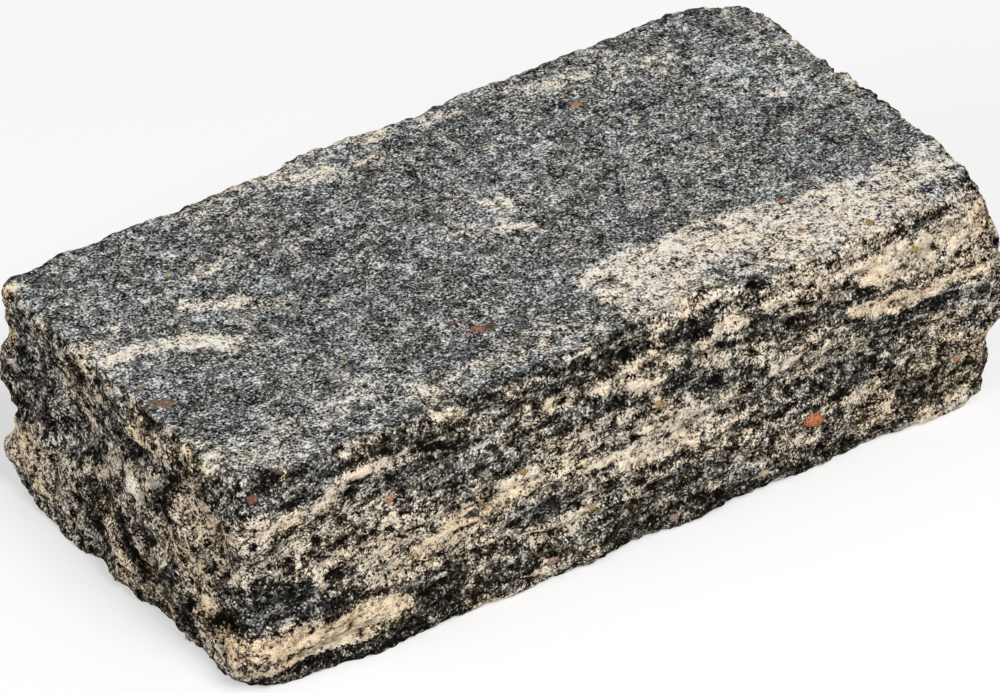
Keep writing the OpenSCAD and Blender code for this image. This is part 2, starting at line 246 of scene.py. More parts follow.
# Where dark mix comes through a cream patch: share of the cream that is missing
DARK_GAPS = on_top([
    (168, 10, 196, 8, 6, 4, 4, 0.15), (192, 33, 197, 31, 2.4, 2.4, 3, 0.7),
    (262, 10, 274, 5, 5, 4, 5, 0.7), (268, 26, 279, 20, 5, 3, 4, 0.5),
    (224, 25, 232, 21, 3, 2.4, 4, 0.4), (152, 26, 156, 22, 3, 3, 4, 0.4),
    (174, 3, 186, 3, 5, 4, 4, 0.7)]) + on_front([
    (56.5, 36, 58.5, 27, 2, 4, 0.9), (259, 78.5, 269.5, 74.5, 5, 3, 0.7),
    (118.5, 67.5, 133.5, 67, 4, 2.8, 0.9), (107.5, 27.5, 115.5, 25.5, 4, 2.4, 0.6),
    (149, 62.5, 153.5, 62.5, 3, 2.2, 0.6), (171, 47, 183, 45.5, 4, 3.4, 1),
    (175, 34.5, 194, 35, 4, 2.4, 0.5), (259, 67, 259.5, 55.5, 2.6, 3.4, 0.55),
    (61, 27, 62, 24, 2.4, 2.4, 0.6)]) + [
    ((248, 0, 77.5), (256.5, 0, 75.5), (5, 6, 3.2), 0.9),
    ((173.5, 0, 80), (185, 0, 81), (5, 4, 3.4), 0.7),
    ((0, 11.5, 67.5), (0, 3.5, 67), (2.5, 4, 3.4), 0.8),
    ((0, 12, 11.5), (0, 1.5, 11.5), (2.5, 5, 5), 0.7),
    ((193, 1, 80), (199, 0, 78), (4, 4, 3.4), 0.8)]
# Where the broken dark mix is as grey as the beds, and not brown
GREY_PATCHES = on_front([
    (7.5, 72, 31, 73.5, 8, 7, 1), (2.5, 30, 24.5, 33.5, 7, 8, 0.8),
    (51.5, 59.5, 99.5, 59, 10, 8, 0.5), (92, 33, 111.5, 28, 8, 5, 0.6),
    (119, 61, 147, 54.5, 8, 5, 0.7), (159, 55, 177, 51.5, 6, 6, 0.8),
    (204.5, 31, 236, 30.5, 8, 6, 0.5), (227, 46, 263.5, 45.5, 8, 4, 0.7)]) + on_left([
    (130.5, 65.5, 102, 43.5, 14, 14, 1), (78, 68.5, 59, 65, 10, 8, 0.5)])
# Where worn arrises and weathered spots of the bed have turned pale
PALE_PATCHES = on_top([
    (248, 86, 251, 84, 4, 5, 4, 1), (170, 86, 174, 84, 4, 4, 4, 0.7),
    (276, 114, 280, 110, 5, 6, 4, 0.8), (-1, 76, 2, 68, 4, 4, 3, 0.5),
    (104, 134, 124, 132, 14, 8, 4, 0.5), (60, 136, 92, 136, 12, 6, 4, 0.35),
    (194, 132, 232, 120, 14, 9, 4, 0.5), (246, 106, 264, 82, 10, 11, 4, 0.75),
    (128, 76, 170, 90, 12, 12, 4, 0.4), (24, 108, 62, 102, 12, 7, 4, 0.35),
    (30, 92, 50, 84, 10, 6, 4, 0.3), (264, 112, 278, 104, 8, 7, 4, 0.7),
    (204, 76, 232, 90, 10, 8, 4, 0.35), (10, 76, 40, 66, 12, 9, 4, 0.3)]) + [
    ((-1, 32, 79), (2, 22, 80), (4, 5, 3), 0.6),
    ((-1, 90, 79), (4, 84, 80), (4, 5, 3), 1), ((-1, 18, 79), (3, 8, 79), (5, 6, 3), 0.9),
    ((-1, 128, 79), (1, 118, 80), (4, 6, 3), 0.6)]

# Holes that the split left, with their depth in millimetres
HOLES = on_front([
    (30, 37, 37.5, 34.5, 3, 2, 0.5), (63, 16, 69.5, 15, 3, 3, 0.5)]) + on_left([
    (68.5, 27, 63.5, 18.5, 4, 4, 1.3), (39, 56.5, 38.5, 61.5, 3, 4, 1),
    (15, 23.5, 6.5, 24, 4, 3, 1), (94, 39.5, 89.5, 39.5, 3, 2.4, 1.2),
    (38, 10.5, 30.5, 19, 2.4, 3, 1), (98.5, 21.5, 98, 18, 2.4, 2.4, 1),
    (55.5, 32.5, 53.5, 31, 4, 2, 0.8), (59, 64.5, 57, 63, 3, 2.4, 0.8)]) + [
    ((0, 105, 80), (0, 101, 79), (6, 3, 3), 1.4), ((0, 52, 80), (0, 46, 79), (6, 3, 3), 1.6)]

# Where rust has tinted the concrete
RUST_PATCHES = on_front([
    (61.5, 31, 99.5, 40.5, 8, 5, 0.6), (79, 6.5, 129.5, 8, 8, 4, 0.3),
    (115.5, 66, 180, 68, 6, 4, 0.4), (228, 54.5, 280, 55.5, 6, 5, 0.5),
    (239.5, 68.5, 282, 68, 8, 8, 0.35), (234.5, 13.5, 280, 20, 10, 12, 0.8)]) + on_left([
    (67, 18.5, 45, 10.5, 8, 10, 0.9), (85, 28, 77, 27, 6, 5, 0.8), (43, 36.5, 24.5, 39, 8, 7, 0.8),
    (18.5, 20.5, 0.5, 18.5, 8, 8, 1), (133, 74, 134, 63.5, 5, 8, 0.8), (60, 71, 30, 76, 6, 6, 0.6),
    (35.5, 58, 13, 59, 8, 10, 0.5), (132.5, 22.5, 118, 16, 10, 9, 0.6)]) + [
    ((1.5, 0, 14.5), (54, 0, 16), (8, 12, 9), 1), ((276, 0, 66), (284, 10, 60), (8, 8, 8), 0.6)]

# Stones that show: (from the left end, from the show face, from the lower bed), the side that
# they show on, long and short half sizes in millimetres, and which colour of stone
TOP, FRONT, LEFT = Vector((0, 0, 1)), Vector((0, -1, 0)), Vector((-1, 0, 0))
SHOWN_STONES = [
    ((7, 52, 80), TOP, 3.8, 3.1, "brown"),
    ((4, 54, 80), TOP, 3.4, 2.6, "drab"),
    ((105, 29, 80), TOP, 3.2, 2.4, "rust"),
    ((109, 28, 80), TOP, 2.4, 1.8, "umber"),
    ((100, 36, 80), TOP, 2.0, 1.6, "umber"),
    ((200, 115, 80), TOP, 2.8, 2.0, "orange"),
    ((157, 13, 80), TOP, 2.1, 1.3, "white"),
    ((66, 4, 80), TOP, 3.4, 2.3, "slate"),
    ((251, 59, 80), TOP, 1.6, 1.2, "umber"),
    ((175, 25, 80), TOP, 1.7, 1.0, "rust"),
    ((186, 24, 80), TOP, 2.0, 1.5, "sand"),
    ((221, 31, 80), TOP, 1.6, 1.2, "orange"),
    ((216, 14, 80), TOP, 1.6, 1.2, "orange"),
    ((236, 5, 80), TOP, 2.3, 1.7, "ochre"),
    ((228, 14, 80), TOP, 2.4, 1.8, "white"),
    ((5.5, 0, 74), FRONT, 2.0, 1.7, "rust"),
    ((53, 0, 55), FRONT, 1.8, 1.5, "orange"),
    ((209.5, 0, 19.5), FRONT, 4.0, 3.0, "brick"),
    ((266, 0, 20), FRONT, 1.7, 1.3, "orange"),
    ((155.5, 0, 5), FRONT, 2.6, 1.6, "pink"),
    ((101, 0, 45), FRONT, 2.0, 1.1, "ochre"),
    ((126, 0, 21), FRONT, 2.0, 1.2, "ochre"),
    ((151, 0, 50), FRONT, 1.8, 1.3, "ochre"),
    ((249, 0, 68), FRONT, 2.0, 1.6, "ochre"),
    ((82.5, 0, 37.5), FRONT, 2.4, 1.5, "slate"),
    ((110, 0, 8), FRONT, 2.2, 1.6, "pink"),
    ((190, 0, 8), FRONT, 2.0, 1.5, "sand"),
    ((0, 60.5, 47), LEFT, 4.6, 3.8, "chalk"),
    ((0, 46.5, 57), LEFT, 2.6, 1.8, "grey"),
    ((0, 78, 70), LEFT, 2.2, 1.8, "sand"),
    ((0, 91.5, 33), LEFT, 2.2, 1.6, "pink"),
]
STONE_COLOURS = {
    "brown": (118, 92, 76), "rust": (138, 92, 76), "umber": (92, 66, 52), "orange": (180, 132, 98),
    "white": (236, 230, 218), "slate": (56, 57, 55), "ochre": (170, 140, 82),
    "sand": (212, 190, 158), "brick": (194, 120, 78), "pink": (168, 138, 122), "grey": (150, 150, 148),
    "chalk": (250, 240, 222), "drab": (112, 98, 80),
}
COMMON_STONES = ["grey", "grey", "sand", "slate", "umber", "ochre", "white", "slate"]
# How far a stone stands out of the skin, as a share of half its thickness
PROUD_ON_BED, PROUD_ON_SIDE, PROUD_SCATTERED = 0.45, 0.65, 0.25
# Its thickness as a share of its shorter width, where it is pressed flat and where it is split free
THICK_ON_BED, THICK_ON_SIDE = 0.35, 0.75
STONE_SPIN = 0.6  # how far it is turned from its usual way at most, in radians
# Its lumps: how far they stand in and out as a share of its radius, and how close they lie
STONE_LUMPS, STONE_LUMP_RATE = 0.34, 1.3
SCATTERED_HALF = (0.8, 1.7)  # least and greatest half length of a scattered stone, in millimetres

# How fast the finer octaves of the noise fade, and how many times finer each one is
NOISE_FADE, STONE_FADE, NOISE_STEP = 0.9, 0.8, 2.1
# Each unevenness reads the noise from a place of its own, so that no two of them match
SHIFTS = {"lumps": 3.7, "ragged": 9.1, "pits": 21.3, "ledges": 33.1, "beds": 14.2,
          "layers": 30.5, "clouds": 41.5}
# Widths of each unevenness of the skin along X, Y and Z, in widths of the smaller lumps
LUMPS, RAGGED, LEDGES = (1.5, 1.2, 1), (0.5, 0.45, 0.36), (4.0, 2.5, 0.6)
PITS_OF_SIDES, PITS_OF_ENDS = (1.7, 1.1, 0.45), (0.8, 0.8, 0.8)
BED_LUMP = 5 * MM  # width of the unevenness of the beds
# Widths of what blends the two mixes, in millimetres: layers of the long sides and of the ends
LAYERS_OF_SIDES, LAYERS_OF_ENDS, CLOUDS = (40, 24, 6), (9, 9, 9), (24, 20, 14)
# The wave that makes the streaks uneven: its widths, how far it reaches and where it is read
WAVE, WAVE_REACH, WAVE_SHIFTS = (16, 12, 8), (3.6, 2.4, 1.5), (1.5, 5.5, 8.5)

# How softly each kind of streak ends, in millimetres
EDGES = {"top": 2.4, "side": 1.3, "blended": 4.0, "gap": 1.5, "black": 1.5, "hole": 1.5,
         "rust": 3.0, "grey": 4.0, "pale": 4.0}
# Where a streak starts to fade inside its rim and has gone outside it, in widths of its edge
FADE_INSIDE, FADE_OUTSIDE = 1.1, 0.7
# Streaks on the hidden sides: seed, how many on the back, least and greatest share
HIDDEN_CREAM, HIDDEN_BLACK, HIDDEN_RUST = (4, 40, 0.6, 1.0), (9, 22, 0.6, 1.0), (17, 16, 0.3, 1.0)

# How strongly each grain size lightens and darkens the mix, on the beds and on the split sides
TONE = {"fine": (2.9, 1.6), "sand": (0.5, 0.46), "clump": (0.9, 1.7), "cloud": (0.9, 1.1)}
# How strongly it moves the border between the mixes, on the beds and on the split sides
BORDER = {"sand": (0.5, 0.7), "clump": (1.2, 0.6), "fine": (0.7, 0.45)}
# Share above which cream starts, and at which it has won, on the beds and on the split sides
CREAM_STARTS, CREAM_WINS = (0.28, 0.44), (0.84, 0.66)
# Noises of the concrete: width, detail and roughness
CLUMP, CLOUD, HUE = (3.2 * MM, 3.0, 0.6), (9.0 * MM, 3.0, 0.6), (15.0 * MM, 2.0, 0.5)
STREAK, PIT = (3.6 * MM, 3.0, 0.6), (2.0 * MM, 3.0, 0.65)
# The grains are bent out of true by a noise: its width, and how far it moves them
WARP_SIZE, WARP_REACH = 2.0 * MM, 0.6 * MM
LAYER_STRETCH = (0.3, 0.55, 1.0)  # along X, Y and Z: the smaller, the longer the layers run
# Widths of other grains in grains of sand, and of the cells that may hold a dot or a pebble
GRIT, SPECK, FINE = 2.6, 1.5, 1.5
DOT_SIZE = 6.0 * MM

# How light each mix is at each brightness of its grains, in times its middle colour
DARK_STOPS = ((0.0, 0.02), (0.2, 0.14), (0.35, 0.45), (0.5, 1.0), (0.65, 2.0), (0.8, 3.6),
              (1.0, 6.0))
CREAM_STOPS = ((0.0, 0.02), (0.16, 0.12), (0.3, 0.5), (0.45, 0.92), (0.6, 1.2), (0.85, 1.42))
BLACK_STOPS = ((0.0, 0.05), (0.35, 0.3), (0.5, 0.9), (0.65, 2.6), (0.8, 7.0), (1.0, 18.0))
# Tints that the colours are multiplied by
SPLIT_CREAM_TINT, RUST_TINT, WARM_GRIT_TINT = (1.03, 0.975, 0.9), (1.0, 0.92, 0.8), (1.06, 0.96, 0.74)
BLUER, BROWNER = (0.975, 1.0, 1.035), (1.03, 1.0, 0.95)

# Lamps: name, width, and place in metres
KEY_LAMP = ("key_light", 1.2, Vector((-0.13, -1.54, 1.84)))
FILL_LAMP = ("fill_light", 1.4, Vector((-1.96, -0.35, 0.93)))
# How far the camera aims left of and below the block's middle, as it sees them, in millimetres
AIM_LEFT, AIM_BELOW = 0.2, 3.6
SENSOR, FARTHEST = 36, 50  # width of the camera's sensor in millimetres, its reach in metres
FLOOR_GREY = (0.6, 0.6, 0.6)  # what the floor throws back on to the block
FLOOR_GLOW = 0.45  # how far it glows white where the camera sees it
WHITE = (1.0, 1.0, 1.0)


def linear(r, g, b):
    """A display colour of 0 to 255 as the light that the shaders work in."""
    def one(c):
        c /= 255.0
        return c / 12.92 if c <= 0.04045 else ((c + 0.055) / 1.055) ** 2.4
    return (one(r), one(g), one(b))


CEMENT, DIRT = linear(168, 158, 142), linear(24, 22, 19)


class WallBlockSkin(bpy.types.PropertyGroup):
    """Sizes of the broken skin."""
    mesh_step: FloatProperty(
        name="Mesh step", description="Distance between neighbouring points of the skin",
        default=1.3 * MM, min=1.0 * MM, max=4 * MM, subtype="DISTANCE")
    split_lumps: FloatProperty(
        name="Split lumps", description="How far the lumps stand in and out on the split sides",
        default=0.75 * MM, min=0, max=3 * MM, subtype="DISTANCE")
    split_pits: FloatProperty(
        name="Split pits", description="Depth of the pits on the split sides",
        default=0.9 * MM, min=0, max=3 * MM, subtype="DISTANCE")
    end_roughness: FloatProperty(
        name="End roughness", description="How much rougher the ends are than the long sides",
        default=0.3, min=0, max=2)
    bed_relief: FloatProperty(
        name="Bed relief", description="How far the beds are from flat",
        default=0.12 * MM, min=0, max=1 * MM, subtype="DISTANCE")
    lump_size: FloatProperty(
        name="Lump size", description="Width of the smaller lumps of the split",
        default=5.5 * MM, min=3 * MM, max=20 * MM, subtype="DISTANCE")
    grain_size: FloatProperty(
        name="Grain size", description="Width of a grain of sand",
        default=0.6 * MM, min=0.4 * MM, max=3 * MM, subtype="DISTANCE")
    stones: IntProperty(
        name="Stones", description="How many scattered stones show beside the placed ones",
        default=200, min=0, max=900)
    seed: IntProperty(name="Seed", description="Which of many ways the stones fall", default=5, min=1)


class WallBlockColours(bpy.types.PropertyGroup):
    """Colours of the two mixes of concrete, and of the painted shade in pits and hollows."""
    dark: FloatVectorProperty(
        name="Dark mix", description="Middle colour of the dark concrete", subtype="COLOR",
        size=3, min=0, max=1, default=linear(105, 106, 105))
    # Also the colour of the patches of painted shade in holes, hollows and under the show face's lower
    # rim
    black: FloatVectorProperty(
        name="Black mix", description="Middle colour of the blackest patches", subtype="COLOR",
        size=3, min=0, max=1, default=linear(58, 58, 58))
    cream: FloatVectorProperty(
        name="Cream mix", description="Middle colour of the cream concrete", subtype="COLOR",
        size=3, min=0, max=1, default=linear(222, 211, 197))
    split_tint: FloatVectorProperty(
        name="Split tint", description="How the broken sides differ in colour from the beds",
        subtype="COLOR", size=3, min=0, max=1, default=(1.0, 0.915, 0.81))
    split_shade: FloatVectorProperty(
        name="Split shade", description="The same for the darkest grains of the broken sides",
        subtype="COLOR", size=3, min=0, max=1, default=(1.0, 0.85, 0.62))
    # Painted shade: the colour that hollows and pits are darkened towards
    painted_pit_shade: FloatVectorProperty(
        name="Pits", description="Colour at the bottom of the pits", subtype="COLOR",
        size=3, min=0, max=1, default=linear(13, 10, 6))


class WallBlockStage(bpy.types.PropertyGroup):
    """Floor, lights and camera."""
    floor_size: FloatProperty(
        name="Floor size", description="Side of the floor", default=12, min=1, subtype="DISTANCE")
    key_energy: FloatProperty(
        name="Key light", description="Power of the large lamp above", default=41, min=0)
    fill_energy: FloatProperty(
        name="Fill light", description="Power of the lamp towards the left end", default=15, min=0)
    sky: FloatProperty(
        name="Sky", description="Strength of the even light from all round", default=0.35, min=0)
    azimuth: FloatProperty(
        name="Azimuth", description="How far round from the show face the camera stands",
        default=math.radians(-32.63), subtype="ANGLE")
    elevation: FloatProperty(
        name="Elevation", description="How far above level the camera stands",
        default=math.radians(34.86), subtype="ANGLE")
    roll: FloatProperty(
        name="Roll", description="Turn of the camera about its own line of sight",
        default=math.radians(-2.0), subtype="ANGLE")
    distance: FloatProperty(
        name="Distance", description="From the camera to the middle of the block", default=2.518,
        min=0.5, subtype="DISTANCE")
    lens: FloatProperty(name="Lens", description="Focal length", default=288, min=20, unit="CAMERA")


def smooth(low, high, value):
    """0 below low, 1 above high and an S-curve between, for arrays."""
    t = np.clip((value - low) / (high - low), 0.0, 1.0)
    return t * t * (3 - 2 * t)


def noise_at(points, size, shift, octaves):
    """Smooth noise of about -1 to 1 at each point, with lumps of the given sizes along X, Y, Z."""
    sx, sy, sz = size
    return np.array([noise.fractal(Vector((x / sx + shift, y / sy - shift, z / sz + shift)),
                                   NOISE_FADE, NOISE_STEP, octaves) for x, y, z in points])


def streak_share(points, streaks, edge):
    """The largest share that any of the streaks gives each point, all in millimetres."""
    share = np.zeros(len(points))
    for start, end, half, amount in streaks:
        a, b, half = np.array(start, float), np.array(end, float), np.array(half, float)
        line = (b - a) / half
        rel = (points - a) / half
        t = np.clip(rel @ line / max(line @ line, 1e-9), 0, 1)
        beyond = (np.linalg.norm(rel - t[:, None] * line, axis=1) - 1) * min(half)
        inside = 1 - smooth(-FADE_INSIDE * edge, FADE_OUTSIDE * edge, beyond)
        share = np.maximum(share, amount * inside)
    return share


def hidden_streaks(seed, count, low, high):
    """Streaks for the back, the right end and the lower bed, laid at random along the layers."""
    rng = random.Random(seed)
    found = []
    for _ in range(count):
        x, z, run = rng.uniform(0, 265), rng.uniform(2, 78), rng.uniform(4, 30)
        found.append(((x, DEPTH, z), (x + run, DEPTH, z + rng.uniform(-0.2, 0.2) * run),
                      (5, DEEP, rng.choice((1.2, 2, 2.6, 3.4, 5))), rng.uniform(low, high)))
    for _ in range(count // 2):
        y, z, run = rng.uniform(0, 125), rng.uniform(2, 78), rng.uniform(3, 20)
        found.append(((LENGTH, y, z), (LENGTH, y + run, z + rng.uniform(-0.4, 0.4) * run),
                      (DEEP, 5, rng.choice((2.6, 3.4, 5, 7))), rng.uniform(low, high)))
    for _ in range(count // 3):
        x, y, run = rng.uniform(0, 250), rng.uniform(4, 136), rng.uniform(8, 50)
        found.append(((x, y, 0), (x + run, y + rng.uniform(-0.4, 0.4) * run, 0),
                      (7, rng.uniform(2.4, 10), 4), rng.uniform(low, high)))
    return found


def points_of(mesh):
    """The mesh's points and outward directions."""
    count = len(mesh.vertices)
    co, no = np.zeros(count * 3), np.zeros(count * 3)
    mesh.vertices.foreach_get("co", co)
    mesh.vertices.foreach_get("normal", no)
    return co.reshape(-1, 3), no.reshape(-1, 3)


def in_block(co):
    """The points in millimetres from the left end, the show face and the lower bed."""
    return co / MM + np.array((LENGTH / 2, DEPTH / 2, 0))


def end_share(at):
    """1 on the two ends of the block, 0 more than 7 mm away from them."""
    return 1 - smooth(1.0, 7.0, np.minimum(at[:, 0], LENGTH - at[:, 0]))


def add_number(mesh, name, values):
    """Stores one number for each point of the mesh under a name that materials read."""
    layer = mesh.attributes.new(name, "FLOAT", "POINT")
    layer.data.foreach_set("value", values.astype(np.float32))


def new_piece(name, bm):
    """A finished object at the origin, made of the bmesh."""
    mesh = bpy.data.meshes.new(name)
    bm.to_mesh(mesh)
    bm.free()
    piece = bpy.data.objects.new(name, mesh)
    bpy.context.scene.collection.objects.link(piece)
    return piece


def apply_modifiers(piece):
    """Bakes the piece's modifiers into its mesh."""
    baked = bpy.data.meshes.new_from_object(
        piece.evaluated_get(bpy.context.evaluated_depsgraph_get()))
    piece.modifiers.clear()
    old, piece.data = piece.data, baked
    bpy.data.meshes.remove(old)


class NodeMaker:
    """Short hand for laying out the nodes of a material or of the sky."""

    def __init__(self, owner):
        owner.use_nodes = True
        self.tree = owner.node_tree
        self.tree.nodes.clear()
        self.column = 0

    def node(self, kind, **inputs):
        """A new node beside the last one, with the inputs that are given by name."""
        made = self.tree.nodes.new(kind)
        made.location = (self.column * 180, -(self.column % 7) * 120)
        self.column += 1
        for name, value in inputs.items():
            self.put(made, name.replace("_", " "), value)
        return made

    def put(self, made, key, value):
        """Links or sets one input, given by name or number. A colour may leave out its alpha."""
        socket = made.inputs[key]
        if isinstance(value, bpy.types.NodeSocket):
            self.tree.links.new(value, socket)
        elif isinstance(value, tuple) and len(value) == 3 and len(socket.default_value) == 4:
            socket.default_value = (*value, 1)
        else:
            socket.default_value = value

    def pair(self, kind, operation, a, b):
        """A node that works out one value from two."""
        made = self.node(kind)
        made.operation = operation
        self.put(made, 0, a)
        self.put(made, 1, b)
        return made.outputs[0]

    def plus(self, a, b):
        return self.pair("ShaderNodeMath", "ADD", a, b)

    def less(self, a, b):
        return self.pair("ShaderNodeMath", "SUBTRACT", a, b)

    def times(self, a, b):
        return self.pair("ShaderNodeMath", "MULTIPLY", a, b)

    def larger(self, a, b):
        return self.pair("ShaderNodeMath", "MAXIMUM", a, b)

    def vector(self, operation, a, b):
        return self.pair("ShaderNodeVectorMath", operation, a, b)

    def total(self, *terms):
        """The sum of the given (value, weight) pairs, each value taken from its middle of 0.5."""
        found = 0.0
        for value, weight in terms:
            found = self.plus(found, self.times(self.less(value, 0.5), weight))
        return found

    def between(self, value, low, high, to_low=0.0, to_high=1.0, curve="SMOOTHSTEP"):
        """One number at low, the other at high, and a curve between them."""
        made = self.node("ShaderNodeMapRange")
        made.interpolation_type = curve
        for name, given in (("Value", value), ("From Min", low), ("From Max", high),
                            ("To Min", to_low), ("To Max", to_high)):
            self.put(made, name, given)
        return made.outputs["Result"]

    def line(self, value, low, high, to_low, to_high):
        """The same with a straight line between them."""
        return self.between(value, low, high, to_low, to_high, "LINEAR")

    def fade(self, share, at_0, at_1):
        """The first value where the share is 0, the second where it is 1."""
        return self.line(share, 0.0, 1.0, at_0, at_1)

    def mix(self, share, a, b, blend="MIX"):
        """One colour laid over another. Inputs 6 and 7 are the node's colours, output 2 its mix."""
        made = self.node("ShaderNodeMix")
        made.data_type = "RGBA"
        made.blend_type = blend
        self.put(made, 0, share)
        self.put(made, 6, a)
        self.put(made, 7, b)
        return made.outputs[2]

    def tinted(self, colour, tint):
        """The colour multiplied by the tint."""
        return self.mix(1.0, colour, tint, "MULTIPLY")

    def noise(self, where, size, detail, rough):
        """Soft noise from 0 to 1, with lumps of the given width."""
        made = self.node("ShaderNodeTexNoise", Vector=where, Scale=1 / size, Detail=detail,
                         Roughness=rough)
        return made.outputs["Fac"]

    def grains(self, where, size):
        """The distance from the middle of each grain, and three random numbers of its own."""
        made = self.node("ShaderNodeTexVoronoi", Vector=where, Scale=1 / size)
        toss = self.node("ShaderNodeSeparateColor", Color=made.outputs["Color"])
        return made.outputs["Distance"], toss.outputs

    def stored(self, name):
        """What the mesh stores for each point under a name, as a node."""
        made = self.node("ShaderNodeAttribute")
        made.attribute_name = name
        return made

    def number(self, name):
        """The number that the mesh stores for each point under a name."""
        return self.stored(name).outputs["Fac"]

    def ramp(self, value, colour, stops):
        """The colour, as light as the (place, lightness) stops say."""
        made = self.node("ShaderNodeValToRGB", Fac=value)
        elements = made.color_ramp.elements
        while len(elements) > 1:
            elements.remove(elements[-1])
        elements[0].position = stops[0][0]
        for number, (place, factor) in enumerate(stops):
            stop = elements.new(place) if number else elements[0]
            stop.color = (*(min(1, c * factor) for c in colour), 1)
        return made.outputs["Color"]

    def seen_directly(self):
        """1 for what the camera sees, also in glass and gloss, and 0 for what lights the block."""
        ray = self.node("ShaderNodeLightPath").outputs
        straight = self.larger(ray["Is Camera Ray"], ray["Is Glossy Ray"])
        return self.larger(straight, ray["Is Transmission Ray"])

    def finish(self, kind, surface):
        """The output node, which takes the finished surface."""
        self.put(self.node(kind), "Surface", surface)

    def rough_surface(self, colour, height, strength, roughness, specular):
        """A dull surface with its colour, and with a bump of the given height in millimetres."""
        bump = self.node("ShaderNodeBump", Strength=strength, Distance=MM, Height=height)
        made = self.node("ShaderNodeBsdfPrincipled", Base_Color=colour, Normal=bump.outputs[0])
        made.inputs["Roughness"].default_value = roughness
        made.inputs["Specular IOR Level"].default_value = specular
        self.finish("ShaderNodeOutputMaterial", made.outputs[0])


def concrete_material(skin, colours):
    """Two mixes of concrete, broken: sand grains, pits and hollows painted dark as shade, and cream
    streaks in the dark.
    """
    material = bpy.data.materials.new("split_concrete")
    m = NodeMaker(material)
    grain = skin.grain_size
    place = m.node("ShaderNodeTexCoord").outputs["Object"]
    warp = m.node("ShaderNodeTexNoise", Vector=place, Scale=1 / WARP_SIZE, Detail=2.0)
    centred = m.vector("SUBTRACT", warp.outputs["Color"], (0.5, 0.5, 0.5))
    where = m.vector("ADD", place, m.vector("MULTIPLY", centred, (WARP_REACH,) * 3))
    layered = m.vector("MULTIPLY", where, LAYER_STRETCH)

    mixture, split, wear = m.number("cream_share"), m.number("split_share"), m.number("wear")
    hollow_shade, black_or_shade_share, ends = m.number("hollow_shade"), m.number("black_or_shade_share"), m.number("end_share")

    sand_away, sand_toss = m.grains(where, grain)
    grit_away, grit_toss = m.grains(where, GRIT * grain)
    fine = m.noise(where, FINE * grain, 4.0, 0.7)
    clump, cloud, hue = m.noise(where, *CLUMP), m.noise(where, *CLOUD), m.noise(where, *HUE)
    streak = m.noise(layered, *STREAK)

    # Brightness of each grain, from 0 to 1
    layered_share = m.times(split, m.fade(ends, 1.0, 0.3))
    tone = m.total((fine, m.fade(split, *TONE["fine"])),
                   (sand_toss[0], m.fade(split, *TONE["sand"])),
                   (clump, m.plus(m.fade(split, *TONE["clump"]), m.times(ends, 0.5))),
                   (cloud, m.fade(split, *TONE["cloud"])),
                   (streak, m.times(layered_share, 1.5)))
    speck_away, speck_toss = m.grains(where, SPECK * grain)
    pale_speck = m.times(m.between(speck_away, 0.75, 0.15),
                         m.line(speck_toss[0], 0.2, 1.0, 0.0, 0.5))
    pale_grit = m.line(grit_toss[0], 0.86, 0.9, 0.0, 0.18)
    dark_grit = m.line(grit_toss[0], 0.16, 0.12, 0.0, 0.15)
    tone = m.plus(0.5, m.plus(tone, m.less(pale_grit, dark_grit)))
    dot_away, dot_toss = m.grains(where, DOT_SIZE)
    tone = m.plus(tone, m.times(m.between(dot_away, 0.24, 0.12),
                                m.line(dot_toss[0], 0.5, 1.0, 0.0, 0.4)))
    # Pebbles in the surface are plainer than the sand round them
    pebble = m.times(m.between(dot_away, 0.4, 0.3), m.line(dot_toss[1], 0.6, 0.64, 0.0, 0.6))
    plain = m.plus(0.47, m.total((fine, 0.9), (dot_toss[2], 0.24)))
    tone = m.fade(pebble, tone, plain)
    # Worn arrises show paler, chalky grains
    tone = m.plus(tone, m.times(wear, m.between(clump, 0.4, 0.6, 0.1, 0.34)))
    # The broken dark mix is darker between its pale specks
    dark_tone = m.plus(tone, m.fade(split, -0.035, m.less(pale_speck, 0.17)))
    clump_out = m.less(clump, 0.5)
    black_tone = m.less(dark_tone, clump_out)
    cream_tone = m.plus(m.fade(split, 0.0, 0.08), m.times(tone, m.fade(split, 1.0, 0.88)))
    cream_tone = m.plus(cream_tone, m.times(clump_out, m.fade(split, 0.9, 0.0)))

    # Which mix each grain belongs to
    share = m.plus(mixture, m.total((sand_toss[1], m.fade(split, *BORDER["sand"])),
                                    (clump, m.fade(split, *BORDER["clump"])),
                                    (fine, m.fade(split, *BORDER["fine"])), (cloud, 0.6),
                                    (streak, m.times(layered_share, 0.8))))
    in_cream = m.between(share, m.fade(split, *CREAM_STARTS), m.fade(split, *CREAM_WINS))
    # Black mix, and painted shade in holes, hollows and under the lower rim of the show face
    in_black_or_shade = m.between(
        m.plus(black_or_shade_share, m.total((sand_toss[2], 0.5), (clump, 0.8))), 0.35, 0.65)

    cream_colour = m.ramp(cream_tone, colours.cream, CREAM_STOPS)
    colour = m.mix(in_black_or_shade, m.ramp(dark_tone, colours.dark, DARK_STOPS),
                   m.ramp(black_tone, colours.black, BLACK_STOPS))
    # The broken dark mix is browner than the pressed, and most of all in its darkest grains
    tint = m.mix(m.between(dark_tone, 0.3, 0.7), tuple(colours.split_shade),
                 tuple(colours.split_tint))
    brown = m.times(split, m.fade(m.number("grey"), 1.0, 0.1))
    colour = m.mix(brown, colour, m.tinted(colour, tint))
    colour = m.mix(in_cream, colour,
                   m.mix(split, cream_colour, m.tinted(cream_colour, SPLIT_CREAM_TINT)))

    # Broad drifts between bluer and browner, and single warm or yellow grains
    colour = m.tinted(colour, m.mix(m.between(hue, 0.36, 0.64), BLUER, BROWNER))
    warm_grit = m.times(m.between(grit_toss[1], 0.96, 0.98), 0.5)
    colour = m.mix(warm_grit, colour, m.tinted(colour, WARM_GRIT_TINT))

    # Rust has run over some of the split
    colour = m.mix(m.number("rust"), colour, m.tinted(colour, RUST_TINT))
